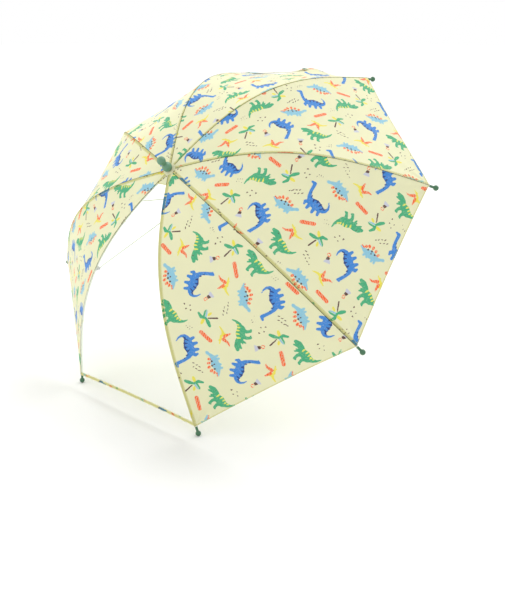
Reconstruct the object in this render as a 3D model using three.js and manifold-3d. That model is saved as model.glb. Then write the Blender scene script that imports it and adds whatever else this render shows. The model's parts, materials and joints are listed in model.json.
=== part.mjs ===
// A child's eight-rib stick umbrella, open and lying on two rib tips and the hook of its handle.
// Millimetres. The umbrella is drawn with its shaft along +Z, the rib hinges at z = 0 and the clear
// window over +X, and is then turned so that the floor under it is z = 0.
import * as THREE from "three";
import { mergeVertices } from "three/addons/utils/BufferGeometryUtils.js";
import Module from "manifold-3d";

const wasm = await Module();
wasm.setup();

// ---- driving sizes
const ribCount = 8;
const ribLength = 500; // along the rib, hinge to rod end
const tipSlope = THREE.MathUtils.degToRad(47.5); // how steeply the rib falls at its tip
const straightShare = 0.1; // the last tenth of the rib is straight
const ribRadius = 1.5;
const stretcherRadius = 1.25;
const jointShare = 0.455; // the stretcher's clip, as a share of the rib
const runnerDrop = 87.5; // stretcher hinges below rib hinges, umbrella open
const closedTipRadius = 17; // tip ball centres from the shaft's axis, umbrella closed

const shaftRadius = 4;
const shaftWall = 0.7;
const shaftTop = 27; // inside the ferrule
const gripStart = 545; // below the rib hinges
const gripEnd = 640; // where the hook starts to turn
const gripRadius = 9.5;
const hookRadius = 22; // of the hook's centre line
const hookTail = 6; // straight end of the hook
const socketDepth = 58; // of the shaft in the grip

const gap = 0.3; // between pieces that touch
const boreRadius = shaftRadius + gap;

// ---- hinges: eyes on a wire ring, in the slots of a crown
const hingeRadius = 9;
const wireRadius = 0.45;
const eyeHole = 0.8;
const eyeRadius = 1.9;
const eyeThickness = 1.6;
const rimWidth = 2.5; // of the crown outside its wire
const slotDepth = 2.1; // inside its wire
const slotPlay = 0.4; // on each side of a rod in its slot
const neckPast = 4; // how far a flat neck stands out of the crown
const neckLap = 2.5; // of a rod on its flat neck
const crownRadius = hingeRadius + rimWidth;
const slotFloor = hingeRadius - slotDepth; // radius of the bottom of a slot
const slotWidth = 2 * (Math.max(ribRadius, stretcherRadius) + slotPlay);
const neckLength = rimWidth + neckPast; // flat link between an eye and its rod
const lineStart = neckLength - neckLap; // where the rod grows out of the link

// ---- clip and rivet of each stretcher
const pinEyeRadius = 2.3;
const saddleWall = 0.8;
const rivetRadius = 0.9;
const earInner = 1.25;
const earOuter = 2.1;
const earWidth = 5; // along the rib
const earPast = 1.8; // the ears reach past the rivet's centre
const saddleLength = 9;
const saddleTop = 0.3; // the saddle ends just over the rod's middle
const rivetHead = 0.4; // how far the rivet stands out of each ear
const rivetPlay = 0.25;
const pinEyePlay = 0.4; // on each side of the stretcher's eye, between the ears
const pinEyeLink = 8; // flat length at the stretcher's clip end
const pinEyeLap = 2;

// ---- canopy
const clothClear = 0.4; // between the cloth and the ribs
const clothUnder = Math.max(ribRadius, eyeRadius) + clothClear; // over the ribs' line
const clothThickness = 0.5;
const clothHubRadius = 6;
const hemStation = ribLength - 7.5; // where the cloth ends, along the rib
const seamGap = 0.2; // half the space between two gores, at their seam
const bindingWidth = 9; // of the cloth band on the window's edge
const bindingRise = 0.5; // the band is thicker than the film

// ---- rib tips
const tipStemRadius = 2.4;
const tipStemStart = ribLength - 6;
const tipBore = 7.2;
const tipBallRadius = 5.2;
const tipBallStation = ribLength + 8; // the ball's centre, along the rib

const halfStep = Math.PI / ribCount;

// ---- the rib's line, in the plane of the shaft: x outwards from its hinge, z along the shaft. It is
// level up to lineStart, and from there a chain of short straight chords.
const lineSteps = 24;
const lineStep = (ribLength - lineStart) / lineSteps;
const ribTable = [{ x: lineStart, z: 0 }];

function ribSlope(s) {
  const turn = Math.min(s / (ribLength * (1 - straightShare)), 1);
  return (tipSlope * (1 - Math.cos(Math.PI * turn))) / 2;
}

for (let i = 0; i < lineSteps; i += 1) {
  const slope = ribSlope(lineStart + (i + 0.5) * lineStep);
  const { x, z } = ribTable[i];
  ribTable.push({ x: x + Math.cos(slope) * lineStep, z: z - Math.sin(slope) * lineStep });
}

// A point on the line at s, moved `out` along the line's outward normal. Past either end the line
// goes straight on.
function ribPoint(s, out = 0) {
  const at = (s - lineStart) / lineStep;
  const i = THREE.MathUtils.clamp(Math.floor(at), 0, lineSteps - 1);
  const a = ribTable[i];
  const b = ribTable[i + 1];
  const slope = ribSlope(s);
  return new THREE.Vector3(
    THREE.MathUtils.lerp(a.x, b.x, at - i) + out * Math.sin(slope),
    0,
    THREE.MathUtils.lerp(a.z, b.z, at - i) + out * Math.cos(slope),
  );
}

// ---- shape helpers
function solidOf(geometry) {
  const bare = geometry.clone();
  bare.deleteAttribute("normal");
  bare.deleteAttribute("uv");
  const merged = mergeVertices(bare, 1e-4);
  return new wasm.Manifold(
    new wasm.Mesh({
      numProp: 3,
      vertProperties: new Float32Array(merged.attributes.position.array),
      triVerts: new Uint32Array(merged.index.array),
    }),
  );
}

function geometryOf(solid) {
  const mesh = solid.getMesh();
  const geometry = new THREE.BufferGeometry();
  geometry.setAttribute("position", new THREE.BufferAttribute(mesh.vertProperties, 3));
  geometry.setIndex(new THREE.BufferAttribute(mesh.triVerts, 1));
  geometry.computeVertexNormals();
  return geometry;
}

const joined = (...pieces) => geometryOf(pieces.map(solidOf).reduce((a, b) => a.add(b)));
const cutFrom = (piece, ...tools) =>
  geometryOf(tools.map(solidOf).reduce((a, b) => a.subtract(b), solidOf(piece)));

// A round bar's section, with a corner on its first axis.
function roundSection(radius, sides) {
  const corners = [];
  for (let i = 0; i < sides; i += 1) {
    const a = (2 * Math.PI * i) / sides;
    corners.push(new THREE.Vector2(radius * Math.cos(a), radius * Math.sin(a)));
  }
  return new THREE.Shape(corners);
}

const barAlong = (curve, radius, sides, steps) =>
  new THREE.ExtrudeGeometry(roundSection(radius, sides), { steps, extrudePath: curve });

// An upright cylinder between two heights.
function column(radius, low, high, sides = 24) {
  const made = new THREE.CylinderGeometry(radius, radius, high - low, sides);
  return made.rotateX(Math.PI / 2).translate(0, 0, (low + high) / 2);
}

// A round piece from an outline of [radius, height] pairs that runs upwards, both ends on the axis.
const turned = (outline, sides) =>
  new THREE.LatheGeometry(
    outline.map(([r, z]) => new THREE.Vector2(r, z)),
    sides,
  ).rotateX(Math.PI / 2);

// An outline in x and z, given a thickness along y and centred on y = 0.
const plate = (shape, thickness, curveSegments = 6) =>
  new THREE.ExtrudeGeometry(shape, { depth: thickness, bevelEnabled: false, curveSegments })
    .rotateX(Math.PI / 2)
    .translate(0, thickness / 2, 0);

// The flat end of a rib or stretcher: an eye at the origin and a bar along +x, narrower than the eye.
const linkShare = 0.75;
function eyeLink(length, radius, hole, thickness) {
  const half = radius * linkShare;
  const start = Math.asin(half / radius);
  const outline = new THREE.Shape();
  outline.moveTo(length, half);
  outline.absarc(0, 0, radius, start, 2 * Math.PI - start, false);
  outline.lineTo(length, -half);
  outline.holes.push(new THREE.Path(roundSection(hole, 10).getPoints()));
  return plate(outline, thickness);
}

function wireRing(radius, sides) {
  return new THREE.TorusGeometry(hingeRadius, radius, sides, 32);
}

// A disc with a slot for each eye, and the groove that holds the wire ring.
function slottedCrown(low, high) {
  const outline = new THREE.Shape();
  const half = slotWidth / 2;
  const reach = Math.sqrt(crownRadius ** 2 - half ** 2);
  const mouth = Math.asin(half / crownRadius);
  for (let i = 0; i < ribCount; i += 1) {
    const a = (2 * i + 1) * halfStep;
    const corner = (along, across) => [
      along * Math.cos(a) - across * Math.sin(a),
      along * Math.sin(a) + across * Math.cos(a),
    ];
    if (i === 0) outline.moveTo(...corner(reach, -half));
    outline.lineTo(...corner(slotFloor, -half));
    outline.lineTo(...corner(slotFloor, half));
    outline.lineTo(...corner(reach, half));
    outline.absarc(0, 0, crownRadius, a + mouth, a + 2 * halfStep - mouth, false);
  }
  outline.holes.push(new THREE.Path(roundSection(boreRadius, 20).getPoints()));
  return new THREE.ExtrudeGeometry(outline, {
    depth: high - low,
    bevelEnabled: false,
    curveSegments: 4,
  }).translate(0, 0, low);
}

// ---- materials
const paint = (color, roughness, metalness = 0) =>
  new THREE.MeshStandardMaterial({ color, roughness, metalness });
const materials = {
  green: paint(0x5f9276, 0.45),
  rod: paint(0xe9f0dc, 0.4),
  steel: paint(0xc9cdd0, 0.3, 1),
  shaft: paint(0xf2f4ee, 0.35, 0.4),
  runner: paint(0xeef1e6, 0.4),
  cloth: paint(0xefeec6, 0.85),
  film: new THREE.MeshStandardMaterial({
    color: 0xf7faf5,
    roughness: 0.15,
    transparent: true,
    opacity: 0.3,
  }),
};

function piece(name, geometry, material) {
  const mesh = new THREE.Mesh(geometry, material);
  mesh.name = name;
  return mesh;
}

const umbrella = new THREE.Group();

// ---- the fold: how far each joint turns or slides from open to closed
const ballAt = ribPoint(tipBallStation);
const clipDepth = ribRadius + gap + saddleWall + pinEyeRadius + gap; // the pin, inside the rib's line
const pinAt = ribPoint(ribLength * jointShare, -clipDepth);
const stretcherReach = new THREE.Vector3(-pinAt.x, 0, -runnerDrop - pinAt.z);
const stretcherLength = stretcherReach.length();
const hemAt = ribPoint(hemStation, clothUnder);

const fallOf = (v) => Math.atan2(-v.z, v.x);
const closedFall = (v, radius) =>
  Math.PI / 2 - Math.asin((radius - hingeRadius) / Math.hypot(v.x, v.z));
const ribFold = closedFall(ballAt, closedTipRadius) - fallOf(ballAt);
const pinClosed = pinAt.clone().applyAxisAngle(new THREE.Vector3(0, 1, 0), ribFold);
const stretcherClosed = Math.asin(pinClosed.x / stretcherLength);
const stretcherOpen = Math.asin(pinAt.x / stretcherLength);
const runnerTravel = -pinClosed.z + stretcherLength * Math.cos(stretcherClosed) - runnerDrop;
const clothClosedRadius = closedTipRadius + 3; // of the middle of a gore's hem, umbrella closed
const goreMiddle = new THREE.Vector3(
  (hemAt.x + hingeRadius) * Math.cos(halfStep) - hingeRadius,
  0,
  hemAt.z,
);
const goreFold = closedFall(goreMiddle, clothClosedRadius) - fallOf(goreMiddle);
// every joint's movement from open to closed, in millimetres and radians, for the part's record
umbrella.userData.fold = {
  runnerTravel,
  ribFold,
  stretcherFold: -(stretcherOpen - stretcherClosed) - ribFold,
  goreFold,
};

// ---- shaft, notch, ferrule
const crownHalf = 4; // half height of the runner's crown
const notchHigh = 1.5;
const sleeveWall = 2.3;
const neckRadius = boreRadius + sleeveWall; // of the notch's neck and the runner's sleeve
const notchNeck = 6.5; // length of the notch's neck
const notchPinHeight = -crownHalf - notchNeck / 2;
const pinRadius = 0.8;
const stopHeight = -runnerDrop + crownHalf + pinRadius + gap;
const sleeveLength = 30;
const springWidth = 1.6;
const springNose = 6.2; // how far out the spring's shoulder stands
const springRun = 15; // length of its ramp
const springLegs = 16;
const springPress = 2.3;
const springPlay = 0.4; // on each side of a spring, in its slot
const shoulderGap = 0.6; // between a spring's shoulder and the runner
const topShoulder = -runnerDrop - crownHalf - sleeveLength - shoulderGap;
const lowShoulder = -runnerDrop - runnerTravel + crownHalf + shoulderGap;

const crossPin = (radius, length, height) =>
  new THREE.CylinderGeometry(radius, radius, length, 10).translate(0, 0, height);

const springWindow = (shoulder, way) =>
  new THREE.BoxGeometry(shaftRadius * 2, springWidth + 2 * springPlay, springRun + 3).translate(
    -shaftRadius - 0.5,
    0,
    shoulder - (way * springRun) / 2,
  );

function shaftTube() {
  return cutFrom(
    column(shaftRadius, -gripStart - socketDepth + 1, shaftTop, 20),
    column(shaftRadius - shaftWall, -gripStart - socketDepth, shaftTop + 1, 20),
    crossPin(pinRadius + gap, 12, notchPinHeight),
    crossPin(pinRadius + gap, 12, stopHeight),
    springWindow(topShoulder, 1),
    springWindow(lowShoulder, -1),
  );
}

// A bent leaf: a leg inside the shaft, a square shoulder that holds the runner, and a ramp. way is 1
// where the shoulder faces up, -1 where it faces down. Each point is [out from the axis, up].
function leafSpring(shoulder, way) {
  const leaf = 0.6;
  const inner = 1.2;
  const outline = new THREE.Shape();
  const points = [
    [inner, springLegs],
    [inner, -springRun - springLegs],
    [inner + leaf, -springRun - springLegs],
    [inner + leaf, -springRun],
    [springNose, -1.2],
    [springNose, 0],
    [inner + leaf, 0],
    [inner + leaf, springLegs],
  ];
  points.forEach(([r, z], i) => {
    const at = [-r, shoulder + way * z];
    if (i === 0) outline.moveTo(...at);
    else outline.lineTo(...at);
  });
  return plate(outline, springWidth);
}

// the ferrule's two balls, [height of the centre, radius], its foot and its waist, [radius, height]
const lowBallSize = [12, 9.3];
const highBallSize = [31, 8.2];
const ferruleFoot = [7.6, 4.4];
const ferruleWaist = [5.4, 21.6];
const ferruleCrest = 1.2; // where the upper ball is cut flat, as an angle from its middle
function ferrule() {
  const ball = ([centre, radius], from, to, steps) =>
    Array.from({ length: steps + 1 }, (_, i) => {
      const a = from + ((to - from) * i) / steps;
      return [radius * Math.cos(a), centre + radius * Math.sin(a)];
    });
  const body = turned(
    [
      [0, ferruleFoot[1]],
      ferruleFoot,
      ...ball(lowBallSize, -0.72, 0.86, 6),
      ferruleWaist,
      ...ball(highBallSize, -0.88, ferruleCrest, 7),
      [0, highBallSize[0] + highBallSize[1] * Math.sin(ferruleCrest)],
    ],
    24,
  );
  return cutFrom(body, column(boreRadius, 3, shaftTop + gap, 20));
}

function topNotch() {
  const low = -crownHalf - notchNeck;
  return cutFrom(
    joined(slottedCrown(-crownHalf, notchHigh), column(neckRadius, low, -crownHalf + 1)),
    column(boreRadius, low - 1, 0, 20),
    wireRing(wireRadius + gap, 8),
    crossPin(pinRadius + gap, 30, notchPinHeight),
  );
}

const washerRadius = 12.5;
const washerLow = 3.1;
const washerHigh = 4.1;
const washer = () =>
  cutFrom(
    column(washerRadius, washerLow, washerHigh),
    column(boreRadius, washerLow - 1, washerHigh + 1),
  );
const stopPinPast = 1.7; // how far the stop pin stands out of each side of the shaft

umbrella.add(
  piece("shaft_tube", shaftTube(), materials.shaft),
  piece("ferrule", ferrule(), materials.green),
  piece("top_washer", washer(), materials.cloth),
  piece("top_notch", topNotch(), materials.runner),
  piece("notch_wire", wireRing(wireRadius, 6), materials.steel),
  piece("notch_pin", crossPin(pinRadius, 2 * neckRadius, notchPinHeight), materials.steel),
  piece(
    "runner_stop_pin",
    crossPin(pinRadius, 2 * (shaftRadius + stopPinPast), stopHeight),
    materials.steel,
  ),
);

const topSpring = new THREE.Group();
topSpring.name = "top_spring_press";
topSpring.add(piece("top_spring", leafSpring(topShoulder, 1), materials.steel));
const lowSpring = new THREE.Group();
lowSpring.name = "bottom_spring_press";
lowSpring.add(piece("bottom_spring", leafSpring(lowShoulder, -1), materials.steel));
umbrella.add(topSpring, lowSpring);
umbrella.userData.springPress = springPress;
umbrella.userData.hookEnd = new THREE.Vector3(-2 * hookRadius, 0, -gripEnd + hookTail);

// ---- runner
function runnerBody() {
  const collar = 3.5; // height of the rim at the sleeve's lower end
  const rim = 0.5;
  const low = -crownHalf - sleeveLength;
  const sleeve = cutFrom(
    joined(column(neckRadius, low, -crownHalf + 1), column(neckRadius + rim, low, low + collar)),
    column(boreRadius, low - 1, 0, 20),
  );
  return cutFrom(joined(slottedCrown(-crownHalf, crownHalf), sleeve), wireRing(wireRadius + gap, 8));
}

const runner = new THREE.Group();
runner.name = "runner_slide";
runner.position.z = -runnerDrop;
runner.add(
  piece("runner_body", runnerBody(), materials.runner),
  piece("runner_wire", wireRing(wireRadius, 6), materials.steel),
);
umbrella.add(runner);

// ---- handle
class HookLine extends THREE.Curve {
  getPoint(t) {
    const lengths = [gripEnd - gripStart, Math.PI * hookRadius, hookTail];
    let left = t * (lengths[0] + lengths[1] + lengths[2]);
    if (left <= lengths[0]) return new THREE.Vector3(0, 0, -gripStart - left);
    left -= lengths[0];
    const turn = Math.min(left, lengths[1]) / hookRadius;
    const past = Math.max(left - lengths[1], 0);
    return new THREE.Vector3(
      -hookRadius * (1 - Math.cos(turn)),
      0,
      -gripEnd - hookRadius * Math.sin(turn) + past,
    );
  }
}

const collarHeight = 14;
const collarFlat = 5; // height of its straight part
const collarFoot = gripRadius + 0.6;
const collarTop = gripRadius - 1.4;
function handleCollar() {
  const low = -gripStart + gap;
  const body = turned(
    [
      [0, low],
      [collarFoot, low],
      [collarFoot, low + collarFlat],
      [collarTop, low + collarHeight],
      [0, low + collarHeight],
    ],
    20,
  );
  return cutFrom(body, column(boreRadius, low - 1, low + collarHeight + 1, 20));
}

umbrella.add(
  piece(
    "handle",
    cutFrom(
      barAlong(new HookLine(), gripRadius, 12, 26),
      column(boreRadius, -gripStart - socketDepth, -gripStart + 1, 20),
    ),
    materials.green,
  ),
  piece("handle_collar", handleCollar(), materials.green),
);

// ---- ribs, in the frame of their hinge
class RibLine extends THREE.Curve {
  constructor(from, to) {
    super();
    this.from = from;
    this.to = to;
  }

  getPoint(t) {
    return ribPoint(THREE.MathUtils.lerp(this.from, this.to, t));
  }
}

function rib() {
  return joined(
    eyeLink(neckLength, eyeRadius, eyeHole, eyeThickness),
    barAlong(new RibLine(lineStart, ribLength), ribRadius, 8, lineSteps),
  );
}

// The cap on a rib's end: a stem with a blind bore for the rod, and a ball.
function ribTip() {
  const stem = tipBallStation - tipStemStart;
  const start = Math.asin(tipStemRadius / tipBallRadius);
  const steps = 5;
  const outline = [
    [0, -stem + tipBore],
    [ribRadius + gap, -stem + tipBore],
    [ribRadius + gap, -stem],
    [tipStemRadius, -stem],
  ];
  for (let i = 0; i <= steps; i += 1) {
    const a = -Math.PI / 2 + start + ((Math.PI - start) * i) / steps;
    outline.push([i < steps ? tipBallRadius * Math.cos(a) : 0, tipBallRadius * Math.sin(a)]);
  }
  const along = ribPoint(tipBallStation + 1).sub(ballAt);
  return turned(outline, 12)
    .applyQuaternion(new THREE.Quaternion().setFromUnitVectors(new THREE.Vector3(0, 0, 1), along))
    .translate(ballAt.x, ballAt.y, ballAt.z);
}

// A clip crimped round the underside of the rod, with two ears and the rivet that the stretcher
// turns on. Its bore is an octagon that stands on a flat, like the rod.
function ribClip() {
  const reach = clipDepth + earPast;
  const inside = ribRadius + gap;
  const outside = inside + saddleWall;
  const eighth = Math.PI / 8;
  const cheek = (side) =>
    new THREE.BoxGeometry(earWidth, earOuter - earInner, reach - inside).translate(
      0,
      (side * (earInner + earOuter)) / 2,
      -(reach + inside) / 2,
    );
  const saddle = cutFrom(
    new THREE.BoxGeometry(saddleLength, 2 * outside, outside + saddleTop).translate(
      0,
      0,
      (saddleTop - outside) / 2,
    ),
    column(inside, -saddleLength, saddleLength, 8)
      .rotateZ(eighth)
      .rotateY(Math.PI / 2),
    new THREE.BoxGeometry(2 * saddleLength, 2 * inside * Math.cos(eighth), 4).translate(0, 0, 2),
  );
  const rivet = crossPin(rivetRadius, 2 * (earOuter + rivetHead), -clipDepth);
  const s = ribLength * jointShare;
  const at = ribPoint(s);
  return joined(saddle, cheek(1), cheek(-1), rivet).rotateY(ribSlope(s)).translate(at.x, 0, at.z);
}

// A rod with an eye for the clip's rivet at the origin, and an eye for the runner's wire at its far end.
function stretcher() {
  const thickness = 2 * (earInner - pinEyePlay);
  const outer = eyeLink(pinEyeLink, pinEyeRadius, rivetRadius + rivetPlay, thickness);
  const rodEnd = stretcherLength - neckLength + neckLap;
  const rod = column(stretcherRadius, pinEyeLink - pinEyeLap, rodEnd, 8).rotateY(Math.PI / 2);
  const inner = eyeLink(neckLength, eyeRadius, eyeHole, eyeThickness)
    .rotateZ(Math.PI)
    .translate(stretcherLength, 0, 0);
  const fall = Math.atan2(-stretcherReach.z, stretcherReach.x);
  return joined(outer, rod, inner).rotateY(fall);
}

const shapes = { rib: rib(), tip: ribTip(), clip: ribClip(), stretcher: stretcher() };

for (let i = 1; i <= ribCount; i += 1) {
  const meridian = new THREE.Group();
  meridian.rotation.z = (2 * i - 1) * halfStep;
  const hinge = new THREE.Group();
  hinge.name = `rib_${i}_fold`;
  hinge.position.x = hingeRadius;
  hinge.add(
    piece(`rib_${i}`, shapes.rib, materials.rod),
    piece(`rib_tip_${i}`, shapes.tip, materials.green),
    piece(`rib_clip_${i}`, shapes.clip, materials.steel),
  );
  const pin = new THREE.Group();
  pin.name = `stretcher_${i}_fold`;
  pin.position.copy(pinAt);
  pin.add(piece(`stretcher_${i}`, shapes.stretcher, materials.rod));
  hinge.add(pin);
  meridian.add(hinge);
  umbrella.add(meridian);
}

// ---- canopy: each gore is flat from rib to rib and follows their line
// A corner of the cloth, in the frame of the gore's hinge. side is -1 or 1; s is the station along
// the rib, or null for the edge round the shaft.
function clothCorner(s, out, side) {
  const inner = new THREE.Vector3(clothHubRadius - hingeRadius, 0, out);
  const at = s === null ? inner : ribPoint(s, out);
  const radius = at.x + hingeRadius;
  return [
    radius * Math.cos(halfStep) - hingeRadius,
    side * (radius * Math.sin(halfStep) - seamGap / Math.cos(halfStep)),
    at.z,
  ];
}

// The closed skin between stations along the ribs, each a row of four corners.
function clothBand(stations, under, over) {
  const corners = [];
  stations.forEach((s) => {
    corners.push(clothCorner(s, under, -1), clothCorner(s, under, 1));
    corners.push(clothCorner(s, over, 1), clothCorner(s, over, -1));
  });
  const faces = [];
  const quad = (a, b, c, d) => faces.push(a, b, c, a, c, d);
  for (let row = 0; row + 1 < stations.length; row += 1) {
    for (let k = 0; k < 4; k += 1) {
      const a = 4 * row + k;
      const b = 4 * row + ((k + 1) % 4);
      quad(a, b, b + 4, a + 4);
    }
  }
  const last = 4 * (stations.length - 1);
  quad(3, 2, 1, 0);
  quad(last, last + 1, last + 2, last + 3);
  const geometry = new THREE.BufferGeometry();
  geometry.setAttribute("position", new THREE.Float32BufferAttribute(corners.flat(), 3));
  geometry.setIndex(faces);
  return geometry;
}

const stationsTo = (end) => [
  null,
  ...Array.from({ length: lineSteps }, (_, i) => lineStart + i * lineStep),
  end,
];
const clothOver = clothUnder + clothThickness;
const goreShape = clothBand(stationsTo(hemStation), clothUnder, clothOver);
const windowShape = clothBand(stationsTo(hemStation - bindingWidth - gap), clothUnder, clothOver);
const bindingStations = [hemStation - bindingWidth, hemStation];
const bindingShape = clothBand(bindingStations, clothUnder, clothOver + bindingRise);

// The tie strap lies across the flat skirt of its gore, with a snap on its free end.
const strapLength = 170;
const strapWidth = 18;
const strapThickness = 1.2;
const strapLift = 0.6; // over the cloth
const strapStation = hemStation - 20;
const strapStart = 145; // its sewn end, from the middle of the gore
const snapRadius = 5.5;
const snapHeight = 1.8;
const snapInset = 9; // of its centre from the strap's free end

// Puts a shape on the cloth at the strap's station. The skirt is flat between the ribs, so its fall is
// a little steeper in the middle of the gore than along them.
function onSkirt(geometry, across, lift) {
  const [x, , z] = clothCorner(strapStation, clothOver, 1);
  const fall = Math.atan2(Math.sin(tipSlope), Math.cos(tipSlope) * Math.cos(halfStep));
  return geometry.translate(0, across, lift).rotateY(fall).translate(x, 0, z);
}
const strap = onSkirt(
  new THREE.BoxGeometry(strapWidth, strapLength, strapThickness),
  strapStart - strapLength / 2,
  strapLift + strapThickness / 2,
);
const snapCap = onSkirt(
  column(snapRadius, 0, snapHeight, 20),
  strapStart - strapLength + snapInset,
  strapLift + strapThickness + gap,
);

for (let i = 0; i < ribCount; i += 1) {
  const middle = new THREE.Group();
  middle.rotation.z = 2 * i * halfStep;
  const hinge = new THREE.Group();
  hinge.name = i === 0 ? "window_fold" : `gore_${i}_fold`;
  hinge.position.x = hingeRadius;
  if (i === 0) {
    hinge.add(
      piece("window_gore", windowShape, materials.film),
      piece("window_binding", bindingShape, materials.cloth),
    );
  } else {
    hinge.add(piece(`gore_${i}`, goreShape, materials.cloth));
  }
  if (i === ribCount / 2) {
    hinge.add(piece("tie_strap", strap, materials.cloth));
    hinge.add(piece("strap_snap", snapCap, materials.green));
  }
  middle.add(hinge);
  umbrella.add(middle);
}

// ---- lying on the floor, which touches the balls of the ribs beside the window and the hook
const lowBall = new THREE.Vector2((ballAt.x + hingeRadius) * Math.cos(halfStep), ballAt.z);
const hookCentre = new THREE.Vector2(-hookRadius, -gripEnd);
const span = lowBall.clone().sub(hookCentre);
const floorNormal =
  span.angle() + Math.acos((tipBallRadius - hookRadius - gripRadius) / span.length());
umbrella.rotation.y = Math.atan2(-Math.cos(floorNormal), Math.sin(floorNormal));

const lying = new THREE.Group();
lying.rotation.z = -Math.PI / 2; // the ferrule points to -Y
lying.add(umbrella);
const root = new THREE.Group();
root.add(lying);
root.updateMatrixWorld(true);
const box = new THREE.Box3().setFromObject(root, true);
const centre = box.getCenter(new THREE.Vector3());
lying.position.set(-centre.x, -centre.y, -box.min.z);
export default root;
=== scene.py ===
# A child's stick umbrella lying open on the floor: seven printed gores and a clear one on eight
# painted ribs, with green plastic tips, ferrule and hooked handle.
import json

import bpy
import numpy as np
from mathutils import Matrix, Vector


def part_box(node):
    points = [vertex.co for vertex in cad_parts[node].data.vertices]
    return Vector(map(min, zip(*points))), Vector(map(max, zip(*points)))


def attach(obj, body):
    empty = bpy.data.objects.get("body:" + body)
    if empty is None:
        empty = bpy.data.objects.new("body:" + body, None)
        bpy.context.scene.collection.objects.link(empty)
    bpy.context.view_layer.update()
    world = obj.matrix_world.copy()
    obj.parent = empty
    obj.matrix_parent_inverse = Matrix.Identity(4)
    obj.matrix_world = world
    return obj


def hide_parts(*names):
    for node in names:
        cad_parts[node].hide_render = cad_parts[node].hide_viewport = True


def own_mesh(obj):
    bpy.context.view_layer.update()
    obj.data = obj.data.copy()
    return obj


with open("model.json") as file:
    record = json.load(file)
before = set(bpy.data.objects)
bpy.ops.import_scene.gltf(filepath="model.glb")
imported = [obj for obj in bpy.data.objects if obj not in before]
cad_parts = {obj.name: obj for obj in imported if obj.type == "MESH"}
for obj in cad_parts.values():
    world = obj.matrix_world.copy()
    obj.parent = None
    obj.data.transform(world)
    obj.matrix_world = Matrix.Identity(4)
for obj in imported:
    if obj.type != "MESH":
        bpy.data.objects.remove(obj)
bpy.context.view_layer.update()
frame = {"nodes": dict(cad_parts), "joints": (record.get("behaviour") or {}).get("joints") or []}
print("frame loaded")

mm = 0.001
ribs = 8
halfStep = np.pi / ribs
joints = {joint["name"]: joint for joint in frame["joints"]}


def middleOf(node):
    low, high = (np.array(corner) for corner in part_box(node))
    return (low + high) / 2


# The umbrella's own frame: z up the shaft to the ferrule, x to the middle of the clear gore.
hub = middleOf("notch_wire")
shaftUp = -np.array(joints["runner_slide"]["axis"])
windowWay = np.array(joints["window_fold"]["pos_m"]) - hub
hingeRadius = np.linalg.norm(windowWay) / mm
windowWay = windowWay / np.linalg.norm(windowWay)
sideWay = np.cross(shaftUp, windowWay)


def placed(points, azimuth=0.0):
    # millimetres in the umbrella's frame, turned about the shaft, to metres in the row's frame
    x, y, z = np.moveaxis(np.asarray(points, float), -1, 0)
    along = x * np.cos(azimuth) - y * np.sin(azimuth)
    across = x * np.sin(azimuth) + y * np.cos(azimuth)
    pairs = ((windowWay, along), (sideWay, across), (shaftUp, z))
    return hub + mm * sum(axis * value[..., None] for axis, value in pairs)


def heightOf(point):
    # how far up the shaft a point of the row's frame lies, in millimetres
    return float((np.array(point) - hub) @ shaftUp) / mm


# The rib's line, which the cloth, rods and tips all follow; lengths in mm.
ribLine = {"length": 500.0, "tipSlope": np.radians(47.5), "straight": 0.1, "level": 4.0}


def slopeAt(s):
    # the fall of a rib at s along it: half a cosine wave from level to the tip's slope, then
    # straight
    turn = np.clip(s / (ribLine["length"] * (1 - ribLine["straight"])), 0, 1)
    return ribLine["tipSlope"] * (1 - np.cos(np.pi * turn)) / 2


tableStep = 0.25
tableS = np.arange(0, ribLine["length"] + 40, tableStep)
tableSlope = slopeAt(np.maximum(tableS - tableStep / 2, 0)) * (tableS > ribLine["level"])
tableX = np.cumsum(np.cos(tableSlope)) * tableStep - tableStep
tableZ = -np.cumsum(np.sin(tableSlope)) * tableStep


def ribAt(s, out=0.0):
    # radius from the shaft and height of a rib's point, moved `out` along the outward normal
    s = np.asarray(s, float)
    slope = slopeAt(s)
    radius = np.where(s < 0, s, np.interp(s, tableS, tableX)) + hingeRadius + out * np.sin(slope)
    return radius, np.interp(s, tableS, tableZ) + out * np.cos(slope)


def facetSlope(slope):
    # the fall of the cloth half way between two ribs that fall by `slope`
    return np.arctan2(np.sin(slope), np.cos(slope) * np.cos(halfStep))


skirtSlope = facetSlope(ribLine["tipSlope"])


# Meshes from grids and rings of points.
def gridQuads(rows, columns, closed=False):
    # the faces of a grid of rows by columns, with the last column joined to the first when closed
    wide = columns if closed else columns - 1
    row, column = np.meshgrid(np.arange(rows - 1), np.arange(wide), indexing="ij")
    here = row * columns + column
    there = row * columns + (column + 1) % columns
    return np.stack([here, there, there + columns, here + columns], -1).reshape(-1, 4)


def closedTube(rings, start, end):
    # rings (rows, sides, 3) run along the tube, anticlockwise seen from its end; a point closes
    # each end
    rows, sides = rings.shape[:2]
    points = np.concatenate([rings.reshape(-1, 3), [start, end]])
    quads = gridQuads(rows, sides, closed=True)
    around = np.arange(sides)
    after = (around + 1) % sides
    last = (rows - 1) * sides
    startFan = np.stack([np.full(sides, rows * sides), after, around], -1)
    endFan = np.stack([np.full(sides, rows * sides + 1), last + around, last + after], -1)
    return points, quads, np.concatenate([startFan, endFan])


def closedRing(rings):
    # rings (rows, sides, 3) whose last row meets the first, as on a washer
    rows, sides = rings.shape[:2]
    quads = gridQuads(rows + 1, sides, closed=True) % (rows * sides)
    return rings.reshape(-1, 3), quads, np.zeros((0, 3), int)


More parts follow.
